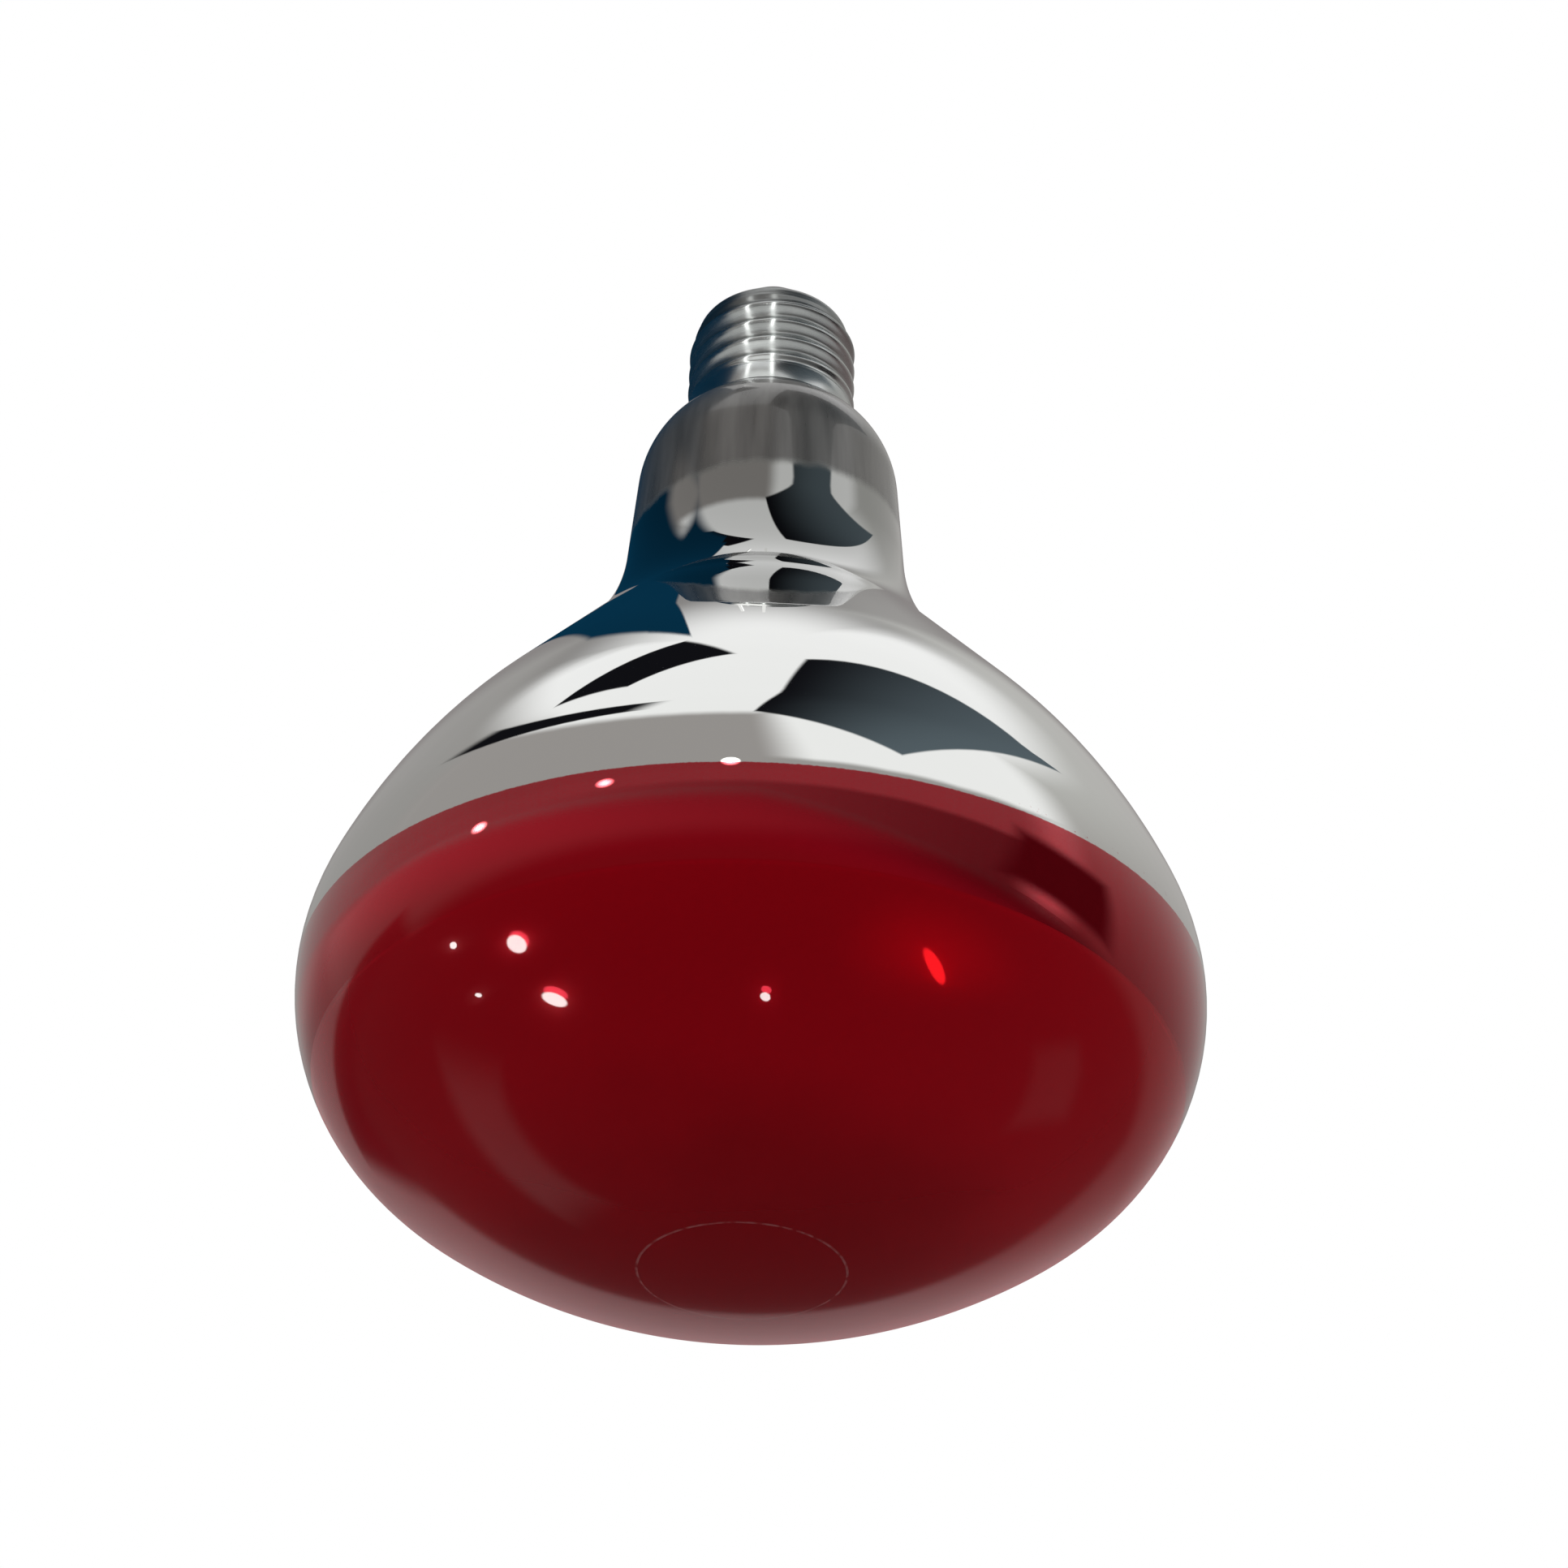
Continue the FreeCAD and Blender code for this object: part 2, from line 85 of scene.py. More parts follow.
def colour(name, description, rgb):
    """A linear colour."""
    return FloatVectorProperty(name=name, description=description, default=rgb, size=3, min=0, max=1,
                               subtype="COLOR")


class BulbSizes(PropertyGroup):
    """Half-section of the blown bulb, and where its coats end."""

    wall: length("Wall", "Thickness of the glass", 0.0009)
    rim_seat: length("Rim seat", "Gap between the cap's rim and the shoulder", 0.00005)
    collar_radius: length("Collar radius", "Reduced end inside the cap", 0.011)
    collar_fillet: length("Collar fillet", "Fillet between collar and shoulder", 0.0012)
    shoulder_radius: length("Shoulder radius", "Arc that comes out of the cap", 0.0175)
    neck_radius: length("Neck radius", "At the top of the straight neck", 0.020)
    neck_length: length("Neck length", "Straight stretch of the neck", 0.015)
    neck_taper: angle("Neck taper", "How far the neck opens", 4.0)
    neck_fillet: length("Neck fillet", "Arc between neck and bowl", 0.040)
    cone_angle: angle("Cone angle", "Between the axis and the bowl's straight stretch", 39.1)
    bowl_arc: length("Bowl arc", "Arc of the reflector", 0.0988)
    edge_turn: angle("Edge turn", "Above the widest circle, where the edge starts", 20.7)
    edge_radius: length("Edge radius", "Arc of the widest part", 0.0294)
    face_radius: length("Face radius", "Arc of the domed face", 0.0843)
    smoke_edge: length("Smoke edge", "Height where the dull neck coat ends", -0.0508)
    smoke_tilt: amount("Smoke tilt", "Slope of that edge towards +X", 0.06)
    smoke_waver: length("Smoke waver", "How far streaks shift that edge", 0.002)
    smoke_blur: length("Smoke blur", "Half the height over which that coat fades out", 0.0012)
    thin_low: length("Thin low", "Height where the mirror starts to thin towards the neck", -0.092)
    thin_high: length("Thin high", "Height above which the mirror is thin", -0.066)
    red_edge: length("Red edge", "Height where the red lacquer ends at the front", -0.1356)
    red_lift: length("Red lift", "How much higher the lacquer ends at the sides", 0.0022)
    red_waver: length("Red waver", "How ragged the end of the lacquer is", 0.0002)
    red_blur: length("Red blur", "Half the height over which the lacquer fades out", 0.0001)
    speck_rise: length("Speck rise", "How far above the lacquer its specks lie", 0.002)
    speck_start: length("Speck start", "How far towards +X the specks begin", 0.020)
    speck_full: length("Speck full", "How far towards +X they are dense", 0.045)
    # Painted shade: these three set where the face's colour darkens towards the pole, standing in for the lesser
    # light that falls on the lower face.
    pole_shade_low: length("Pool low", "Height below which the lacquer lies thick", -0.1745)
    pole_shade_high: length("Pool high", "Height above which it lies thin", -0.1630)
    pole_shade_waver: length("Pool waver", "How far clouds shift those heights", 0.008)
    mirror_edge: length("Mirror edge", "Height where the silvering ends", -0.1476)
    mirror_fade: length("Mirror fade", "Height over which the silvering thins out", 0.009)
    mirror_tilt: amount("Mirror tilt", "How fast that stretch sinks towards +X", 0.2)
    stamp_radius: length("Stamp radius", "Plain printed ring on the pole", 0.01386)
    stamp_line: length("Stamp line", "Width of the printed ring's line", 0.0003)
    stamp_low: length("Stamp low", "Height below which the print is full", -0.1735)
    stamp_high: length("Stamp high", "Height above which the wall is bare, as on its inside", -0.1730)


class CapSizes(PropertyGroup):
    """Rolled sheet of the screw cap."""

    thread_depth: length("Thread depth", "Between crest and root", 0.001)
    thread_pitch: length("Thread pitch", "Rise of one turn", 0.003629)
    front_crest: length("Front crest", "Height of the first crest on the front", -0.01172)
    thread_length: length("Thread length", "From the end's round to the skirt", 0.0156)
    skirt_length: length("Skirt length", "Plain band above the rim", 0.003)
    sheet: length("Sheet", "Thickness of the metal", 0.0003)
    end_round: length("End round", "Bend between thread and conical end", 0.0025)
    end_slope: angle("End slope", "Slope of the conical end", 45.0)
    lip_radius: length("Lip radius", "Where the sheet stops on the insulator", 0.0084)
    # Painted shade: the crest depth and the two heights below set where the thread's roots and the conical end
    # are painted darker.
    crest_unshaded_depth: length("Crest polish", "Depth below the crests that is rubbed clean", 0.0002)
    end_shade_low: length("Grime low", "Height where the end starts to be grimy", -0.0125)
    end_shade_high: length("Grime high", "Height above which it is grimy", -0.0105)


class CoilSizes(PropertyGroup):
    """Coiled wire on its supports."""

    wire_radius: length("Wire radius", "Half the thickness of the coiled wire", 0.00014)
    turn_pitch: length("Turn pitch", "Between two turns of the coil", 0.0006)
    gap: angle("Gap", "Part of the ring that is left open towards +X", 120.0)
    points_per_turn: IntProperty(name="Points per turn", description="Smoothness of a turn", default=12, min=6)


class LampColours(PropertyGroup):
    """Finishes of the lamp."""

    silver: colour("Silver", "Mirror behind the glass", (0.80, 0.81, 0.79))
    neck_silver: colour("Neck silver", "Thinner mirror on the neck", (0.37, 0.375, 0.36))
    smoke: colour("Smoke", "Dull coat under the cap", (0.135, 0.132, 0.127))
    lacquer: colour("Lacquer", "Red lacquer over the mirror", (0.55, 0.006, 0.022))
    red_glass: colour("Red glass", "Lacquered face", (0.37, 0.0006, 0.007))
    stamp: colour("Stamp", "Worn print", (0.55, 0.42, 0.42))
    cap: colour("Cap", "Plated sheet", (0.55, 0.57, 0.565))
    insulator: colour("Insulator", "Black glass in the cap", (0.012, 0.012, 0.014))
    brass: colour("Brass", "Contact plate", (0.68, 0.50, 0.22))
    solder: colour("Solder", "Dull solder", (0.52, 0.52, 0.50))
    cement: colour("Cement", "Baked cement", (0.52, 0.44, 0.33))
    clear_glass: colour("Clear glass", "Stem and tubes", (0.93, 0.97, 0.95))
    copper: colour("Copper", "Outer leads and seals", (0.62, 0.27, 0.14))
    nickel: colour("Nickel", "Inner leads", (0.56, 0.53, 0.48))
    support: colour("Support", "Hooks of the coil", (0.33, 0.33, 0.34))
    tungsten: colour("Tungsten", "Coil", (0.20, 0.20, 0.21))
    deflector: colour("Deflector", "Heat disc in the neck", (0.66, 0.66, 0.66))


class StudioSettings(PropertyGroup):
    """Camera, floor and light."""

    camera_rise: angle("Camera rise", "The camera looks up at the lamp", 35.35)
    camera_distance: length("Camera distance", "From the point it looks at", 0.4828)
    camera_aim: length("Camera aim", "Height of the point on the axis that it looks at", -0.09461)
    camera_roll: angle("Camera roll", "Turn of the picture", 1.91)
    camera_lens: FloatProperty(name="Lens", description="Focal length in millimetres", default=76.54)
    camera_shift: FloatProperty(name="Shift", description="Sideways shift of the picture", default=0.0165)
    floor_drop: length("Floor drop", "Depth of the floor below the origin", 0.75)
    floor_size: length("Floor size", "Side of the square floor", 12.0)
    floor_colour: colour("Floor", "Pale floor", (0.78, 0.78, 0.77))
    world_light: amount("World light", "Strength of the even light", 0.55)
    key_power: amount("Key power", "Watts of the soft light above the front", 9.0)
    key_size: length("Key size", "Side of that light", 0.8)
    key_place: location("Key place", "Middle of that light", (-0.6, -0.9, 0.9))
    fill_power: amount("Fill power", "Watts of the soft light from the right", 3.5)
    fill_size: length("Fill size", "Side of that light", 0.9)
    fill_place: location("Fill place", "Middle of that light", (1.1, -0.3, 0.2))
    face_spot_light: amount("Face spot light", "Strength of the spots in the face", 22.0)
    fringe_light: amount("Fringe light", "Strength of their red fringes", 18.0)
    gleam_light: amount("Gleam light", "Strength of the red gleam", 20.0)
    glow_light: amount("Glow light", "Strength of the red glow round the gleam", 1.7)
    band_spot_light: amount("Band spot light", "Strength of the spots in the red band", 20.0)
    strip_light: amount("Strip light", "Strength of the strips beside the cap", 3.6)
    strip_back_light: amount("Strip back light", "Strength of the backs of those strips", 0.9)


class Value:
    """A number on a node's socket; arithmetic on it adds Math nodes."""

    def __init__(self, paint, socket):
        self.paint = paint
        self.socket = socket

    def math(self, operation, first, second=0.0):
        return self.paint.node("ShaderNodeMath", {"operation": operation}, {0: first, 1: second})

    def __add__(self, other):
        return self.math("ADD", self, other)

    def __sub__(self, other):
        return self.math("SUBTRACT", self, other)

    def __rsub__(self, other):
        return self.math("SUBTRACT", other, self)

    def __mul__(self, other):
        return self.math("MULTIPLY", self, other)

    def __truediv__(self, other):
        return self.math("DIVIDE", self, other)

    def __rtruediv__(self, other):
        return self.math("DIVIDE", other, self)

    def __pow__(self, other):
        return self.math("POWER", self, other)

    def __abs__(self):
        return self.math("ABSOLUTE", self)

    def __gt__(self, other):
        return self.math("GREATER_THAN", self, other)

    def most(self, other):
        return self.math("MAXIMUM", self, other)

    def least(self, other):
        return self.math("MINIMUM", self, other)

    __radd__ = __add__
    __rmul__ = __mul__


class Paint:
    """A node tree being written; its methods add nodes and give their outputs."""

    def __init__(self, owner):
        owner.use_nodes = True
        self.tree = owner.node_tree
        self.tree.nodes.clear()

    def node(self, kind, settings, sockets, output=0):
        """Adds a node of a type, sets it up, then feeds its sockets."""
        made = self.tree.nodes.new(kind)
        for name, value in settings.items():
            setattr(made, name, value)
        for name, value in sockets.items():
            if isinstance(value, Value):
                self.tree.links.new(value.socket, made.inputs[name])
            else:
                made.inputs[name].default_value = value
        return Value(self, made.outputs[output]) if made.outputs else None

    def place(self, output="Object"):
        """Where a point is on its piece."""
        return self.node("ShaderNodeTexCoord", {}, {}, output)

    def axes(self, place):
        """The three numbers of a point."""
        return [self.node("ShaderNodeSeparateXYZ", {}, {0: place}, axis) for axis in "XYZ"]

    def stretch(self, place, factors):
        """A point with each axis scaled."""
        return self.node("ShaderNodeVectorMath", {"operation": "MULTIPLY"}, {0: place, 1: factors})

    def noise(self, place, scale, detail=2.0):
        """Soft noise about one half."""
        return self.node("ShaderNodeTexNoise", {}, {"Vector": place, "Scale": scale, "Detail": detail})

    def rise(self, value, low, high):
        """Smooth step from 0 below low to 1 above high."""
        return self.node("ShaderNodeMapRange", {"interpolation_type": "SMOOTHSTEP"},
                         {"Value": value, "From Min": low, "From Max": high})

    def blend(self, factor, first, second):
        """A colour between two colours."""
        return self.node("ShaderNodeMix", {"data_type": "RGBA"}, {0: factor, 6: first, 7: second}, 2)

    def bump(self, height, depth):
        """Normal of a surface with a height between 0 and 1 over a depth in metres."""
        return self.node("ShaderNodeBump", {}, {"Height": height, "Distance": depth, "Strength": 1.0})

    def principled(self, **sockets):
        """Principled shader; underscores in the names stand for spaces."""
        named = {name.replace("_", " "): value for name, value in sockets.items()}
        return self.node("ShaderNodeBsdfPrincipled", {}, named)

    def mix(self, factor, first, second):
        """A shader between two shaders."""
        return self.node("ShaderNodeMixShader", {}, {0: factor, 1: first, 2: second})

    def glow(self, rgb, strength):
        """Plain light."""
        return self.node("ShaderNodeEmission", {}, {"Color": rgb, "Strength": strength})


def rgba(rgb):
    """A colour for a socket."""
    return (*rgb, 1.0)


def shades(rgb, dark, light):
    """A darker and a lighter shade of a colour."""
    return rgba(Vector(rgb) * dark), rgba([min(1.0, part * light) for part in rgb])


def new_material(name, write):
    """A material whose shader is written by a function of its node tree."""
    material = bpy.data.materials.new(name)
    paint = Paint(material)
    paint.node("ShaderNodeOutputMaterial", {}, {"Surface": write(paint)})
    return material


def silvered_glass(sizes, colours):
    """Mirror behind glass: dull and smoky under the cap, red lacquered towards the face."""

    def write(paint):
        place = paint.place()
        x, y, z = paint.axes(place)
        streaks = paint.noise(paint.stretch(place, (1.0, 1.0, 0.05)), scale=300.0, detail=3.0)
        clouds = paint.noise(place, scale=60.0)
        ragged = paint.noise(place, scale=1600.0)

        thin = paint.rise(z, sizes.thin_low, sizes.thin_high)
        silver = paint.blend(thin, rgba(colours.silver), rgba(colours.neck_silver))

        smoke_edge = sizes.smoke_edge + x * sizes.smoke_tilt + (streaks - 0.5) * sizes.smoke_waver
        smoke = paint.rise(z - smoke_edge, -sizes.smoke_blur, sizes.smoke_blur)
        sooty, pale = shades(colours.smoke, dark=0.75, light=1.25)
        coat = paint.blend(smoke, silver, paint.blend(paint.rise(streaks, 0.3, 0.7), sooty, pale))

        side = (x * x) / (x * x + y * y)
        below = sizes.red_edge + side * sizes.red_lift + (ragged - 0.5) * sizes.red_waver - z
        speckled = paint.rise(below, -sizes.speck_rise, 0.0) * paint.rise(x, sizes.speck_start, sizes.speck_full)
        specks = (ragged > 0.70) * speckled
        red = paint.rise(below, -sizes.red_blur, sizes.red_blur).most(specks * 0.8)
        fade_start = sizes.mirror_edge + sizes.mirror_fade - x.most(0.0) * sizes.mirror_tilt
        bare = red * paint.rise(fade_start - z, 0.0, sizes.mirror_fade)
        darker_red, lighter_red = shades(colours.lacquer, dark=0.92, light=1.08)
        unbacked = rgba(Vector(colours.red_glass) * 0.64)
        lacquer = paint.blend(bare, paint.blend(clouds, darker_red, lighter_red), unbacked)

        return paint.principled(
            Base_Color=paint.blend(red, coat, lacquer), Metallic=1 - red * 0.15 - bare * 0.85 - smoke * 0.4,
            Roughness=0.015 + smoke * (0.20 + streaks * 0.15) + bare * 0.2, IOR=1.2,
            Coat_Weight=1.0, Coat_Roughness=0.01, Coat_IOR=1.3)

    return new_material("silvered_glass", write)


def red_glass(sizes, colours):
    """Glass under red lacquer, with painted shade that darkens it towards the pole, and a worn printed ring
    there.
    """

    def write(paint):
        place = paint.place()
        x, y, z = paint.axes(place)
        clouds = paint.noise(place, scale=45.0)
        wear = paint.noise(place, scale=700.0, detail=3.0)
        # Painted shade: the face's colour is darker towards the pole, where less light falls on it.
        unshaded = paint.rise(z + (clouds - 0.5) * sizes.pole_shade_waver, sizes.pole_shade_low, sizes.pole_shade_high)
        darker_red, lighter_red = shades(colours.red_glass, dark=0.68, light=1.05)
        glass = paint.principled(
            Base_Color=paint.blend(unshaded, darker_red, lighter_red), Roughness=0.2, IOR=1.5, Transmission_Weight=0.4,
            Specular_Tint=rgba(colours.red_glass), Coat_Weight=1.0, Coat_Roughness=0.01, Coat_IOR=1.45,
            Sheen_Weight=0.4, Sheen_Roughness=0.3, Sheen_Tint=rgba((1.0, 0.05, 0.09)))
        ink = paint.principled(Base_Color=rgba(colours.stamp), Roughness=0.5)
        radius = (x * x + y * y) ** 0.5
        line = 1 - paint.rise(abs(radius - sizes.stamp_radius), sizes.stamp_line * 0.4, sizes.stamp_line * 0.7)
        outside = 1 - paint.rise(z, sizes.stamp_low, sizes.stamp_high)
        printed = line * outside * paint.rise(wear, 0.30, 0.60) * 0.5
        return paint.mix(printed, glass, ink)

    return new_material("red_glass", write)


def inner_mirror(colours):
    """The silvering seen from inside the bulb."""

    def write(paint):
        clouds = paint.noise(paint.place(), scale=80.0)
        dull, bright = shades(colours.silver, dark=0.92, light=1.0)
        return paint.principled(Base_Color=paint.blend(clouds, dull, bright), Metallic=1.0,
                                Roughness=0.03 + clouds * 0.04)

    return new_material("inner_mirror", write)


def metal(name, rgb, roughness, grain=1500.0, dent=0.00001):
    """Worked metal: patches of tarnish, and fine grain in its gloss and relief."""

    def write(paint):
        place = paint.place()
        patches = paint.noise(place, scale=140.0, detail=3.0)
        fine = paint.noise(place, scale=grain, detail=4.0)
        dull, bright = shades(rgb, dark=0.72, light=1.12)
        return paint.principled(Base_Color=paint.blend(patches, dull, bright), Metallic=1.0,
                                Roughness=roughness + (fine - 0.5) * 0.25, Normal=paint.bump(fine, dent))

    return new_material(name, write)


def cap_metal(cap, colours):
    """Rolled plated sheet: rubbed lines round the axis, with painted shade in the thread's roots and on the
    conical end.
    """
    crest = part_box("screw_shell")[1].x

    def write(paint):
        place = paint.place()
        x, y, z = paint.axes(place)
        lines = paint.noise(paint.stretch(place, (1.0, 1.0, 30.0)), scale=130.0)
        patches = paint.noise(place, scale=160.0, detail=3.0)
        radius = (x * x + y * y) ** 0.5
        # Painted shade: the thread's roots are darkened where shade falls in them, and the upward-facing end is
        # darkened to tone down the light it reflects.
        root = 1 - paint.rise(radius, crest - cap.thread_depth, crest - cap.crest_unshaded_depth)
        end = paint.rise(z, cap.end_shade_low, cap.end_shade_high)
        dull, bright = shades(colours.cap, dark=0.75, light=1.2)
        shaded_cap = rgba(Vector(colours.cap) * 0.35)
        base = paint.blend(patches, dull, bright)
        painted_shade = (root * 0.25).most(end * 0.75)
        return paint.principled(Base_Color=paint.blend(painted_shade, base, shaded_cap), Metallic=1.0,
                                Roughness=0.19 + lines * 0.06 + root * 0.1,
                                Normal=paint.bump(patches, depth=0.00003))

    return new_material("cap_metal", write)


def black_glass(colours):
    """Moulded insulating glass with a few flow marks."""

    def write(paint):
        flow = paint.noise(paint.place(), scale=260.0, detail=3.0)
        black, grey = shades(colours.insulator, dark=0.7, light=2.2)
        return paint.principled(Base_Color=paint.blend(flow, black, grey), Roughness=0.12 + flow * 0.2,
                                IOR=1.5, Normal=paint.bump(flow, depth=0.00006))

    return new_material("black_glass", write)


def baked_cement(colours):
    """Grainy basing cement."""

    def write(paint):
        place = paint.place()
        grains = paint.noise(place, scale=1800.0, detail=4.0)
        stains = paint.noise(place, scale=250.0)
        brown, pale = shades(colours.cement, dark=0.6, light=1.3)
        return paint.principled(Base_Color=paint.blend(grains * 0.5 + stains * 0.5, brown, pale), Roughness=0.9,
                                Normal=paint.bump(grains, depth=0.00015))

    return new_material("baked_cement", write)


def clear_glass(colours):
    """Drawn soft glass with faint cords."""

    def write(paint):
        cords = paint.noise(paint.stretch(paint.place(), (1.0, 1.0, 0.1)), scale=500.0)
        dull, bright = shades(colours.clear_glass, dark=0.9, light=1.0)
        return paint.principled(Base_Color=paint.blend(cords, dull, bright), Roughness=0.02, IOR=1.5,
                                Transmission_Weight=1.0, Normal=paint.bump(cords, depth=0.00003))

    return new_material("clear_glass", write)


def polar(turn):
    """Unit vector in a half-section, at an angle above the horizontal."""
    return Vector((math.cos(turn), math.sin(turn)))


def arc(centre, radius, start, end, spacing=0.0008):
    """Points of an arc in a half-section, as (radius, height)."""
    steps = max(3, math.ceil(abs(end - start) * radius / spacing))
    return [centre + polar(start + (end - start) * step / steps) * radius for step in range(steps + 1)]


def straight(start, end, spacing=0.0016):
    """Points between the ends of a straight run, without the ends."""
    steps = max(1, math.ceil((end - start).length / spacing))
    return [start.lerp(end, step / steps) for step in range(1, steps)]


def ring(radius, height, segments, centre=(0.0, 0.0)):
    """Corners of one level circle."""
    turns = [math.tau * step / segments for step in range(segments)]
    return [(centre[0] + radius * math.cos(turn), centre[1] + radius * math.sin(turn), height) for turn in turns]


def skin(name, rows, closed=False):
    """Mesh through rows of points that run up the outside; a row on the axis is one point."""
    corners = []
    numbers = []
    segments = max(len(row) for row in rows)
    for row in rows:
        first = len(corners)
        corners += row
        numbers.append([first + step % len(row) for step in range(segments)])
    pairs = list(zip(numbers, numbers[1:]))
    if closed:
        pairs.append((numbers[-1], numbers[0]))
    faces = []
    for lower, upper in pairs:
        for step in range(segments):
            after = (step + 1) % segments
            face = dict.fromkeys((lower[step], lower[after], upper[after], upper[step]))
            faces.append(tuple(face))
    mesh = bpy.data.meshes.new(name)
    mesh.from_pydata(corners, [], faces)
    mesh.validate()
    mesh.shade_smooth()
    mesh.set_sharp_from_angle(angle=CREASE)
    return mesh


def add_piece(name, data, slot, *replaced):
    """A piece that rides with the lamp and stands for solids of the frame."""
    piece = bpy.data.objects.new(name, data)
    bpy.context.scene.collection.objects.link(piece)
    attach(piece, "root")
    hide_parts(*replaced)


def dress(material, *nodes):
    """Gives solids of the frame a finish."""
    for node in nodes:
        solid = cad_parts[node]
        solid.data.materials.clear()
        solid.data.materials.append(material)


def bulb_wall(sizes, cap, inset):
    """Half-section of the bulb's wall from the collar down to the pole, set in from its outside."""
    glass_low, glass_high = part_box("envelope")
    shell_low, shell_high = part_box("screw_shell")
    skirt = shell_high.x - cap.sheet

    shoulder_r = sizes.neck_radius - sizes.shoulder_radius * math.cos(sizes.neck_taper)
    shoulder_rise = math.sqrt(sizes.shoulder_radius ** 2 - (skirt - shoulder_r) ** 2)
    shoulder = Vector((shoulder_r, shell_low.z - sizes.rim_seat - shoulder_rise))
    collar_r = sizes.collar_radius + sizes.collar_fillet
    reach = sizes.shoulder_radius + sizes.collar_fillet
    collar_turn = math.acos((collar_r - shoulder_r) / reach)
    collar = shoulder + polar(collar_turn) * reach
    neck_top = shoulder + polar(sizes.neck_taper) * sizes.shoulder_radius
    neck_end = neck_top + polar(sizes.neck_taper - math.pi / 2) * sizes.neck_length
    fillet = neck_end + polar(sizes.neck_taper) * sizes.neck_fillet
    cone_start = fillet - polar(sizes.cone_angle) * sizes.neck_fillet
    edge_r = glass_high.x - sizes.edge_radius
    bowl_to_edge = polar(sizes.edge_turn) * (sizes.bowl_arc - sizes.edge_radius)
    cone_end_r = edge_r - bowl_to_edge.x + sizes.bowl_arc * math.cos(sizes.cone_angle)
    cone_run = (cone_end_r - cone_start.x) / math.sin(sizes.cone_angle)
    cone_end = cone_start + polar(sizes.cone_angle - math.pi / 2) * cone_run
    bowl = cone_end - polar(sizes.cone_angle) * sizes.bowl_arc
    edge = bowl + bowl_to_edge
    face_reach = sizes.face_radius - sizes.edge_radius
    face_turn = -math.acos(edge_r / face_reach)
    face = Vector((0.0, edge.y + math.sqrt(face_reach ** 2 - edge_r ** 2)))
    pole = face.y - sizes.face_radius
    if abs(pole - glass_low.z) > POLE_SLACK:
        raise RuntimeError("the bulb's outline doesn't end at the pole of the solid")

    neck_inset = polar(sizes.neck_taper) * inset
    cone_inset = polar(sizes.cone_angle) * inset
    edge_arc = sizes.edge_radius - inset
    mirror_turn = math.asin((sizes.mirror_edge - edge.y) / edge_arc)
    wall = [Vector((sizes.collar_radius - inset, glass_high.z))]
    wall += arc(collar, sizes.collar_fillet + inset, math.pi, math.pi + collar_turn, spacing=0.0003)
    wall += arc(shoulder, sizes.shoulder_radius - inset, collar_turn, sizes.neck_taper)[1:]
    wall += straight(neck_top - neck_inset, neck_end - neck_inset)
    wall += arc(fillet, sizes.neck_fillet + inset, math.pi + sizes.neck_taper, math.pi + sizes.cone_angle)
    wall += straight(cone_start - cone_inset, cone_end - cone_inset)
    wall += arc(bowl, sizes.bowl_arc - inset, sizes.cone_angle, sizes.edge_turn)
    wall += arc(edge, edge_arc, sizes.edge_turn, mirror_turn)[1:]
    wall += arc(edge, edge_arc, mirror_turn, face_turn)[1:]
    wall += arc(face, sizes.face_radius - inset, face_turn, -math.pi / 2, spacing=0.0012)[1:-1]
    return wall + [Vector((0.0, pole + inset))]


class LAMP_OT_bulb(Operator):
    """Blow the bulb: one glass wall with its mirror, dull neck and red face"""

    bl_idname = "lamp.bulb"
    bl_label = "Glass bulb"

    SEGMENTS = 168

    def execute(self, context):
        sizes = context.scene.lamp_bulb
        colours = context.scene.lamp_colours
        outside = bulb_wall(sizes, context.scene.lamp_cap, 0.0)[::-1]
        inside = bulb_wall(sizes, context.scene.lamp_cap, sizes.wall)
        rows = [ring(r, z, self.SEGMENTS) if r > 0 else [(0.0, 0.0, z)] for r, z in outside + inside]
        mesh = skin("glass_bulb", rows)
        for material in (silvered_glass(sizes, colours), red_glass(sizes, colours), inner_mirror(colours)):
            mesh.materials.append(material)
        mouth = len(outside)
        for number, face in enumerate(mesh.polygons):
            if face.center.z < sizes.mirror_edge:
                face.material_index = 1
            elif number // self.SEGMENTS >= mouth:
                face.material_index = 2
        add_piece("glass_bulb", mesh, "envelope_glass", "envelope")
        return {"FINISHED"}


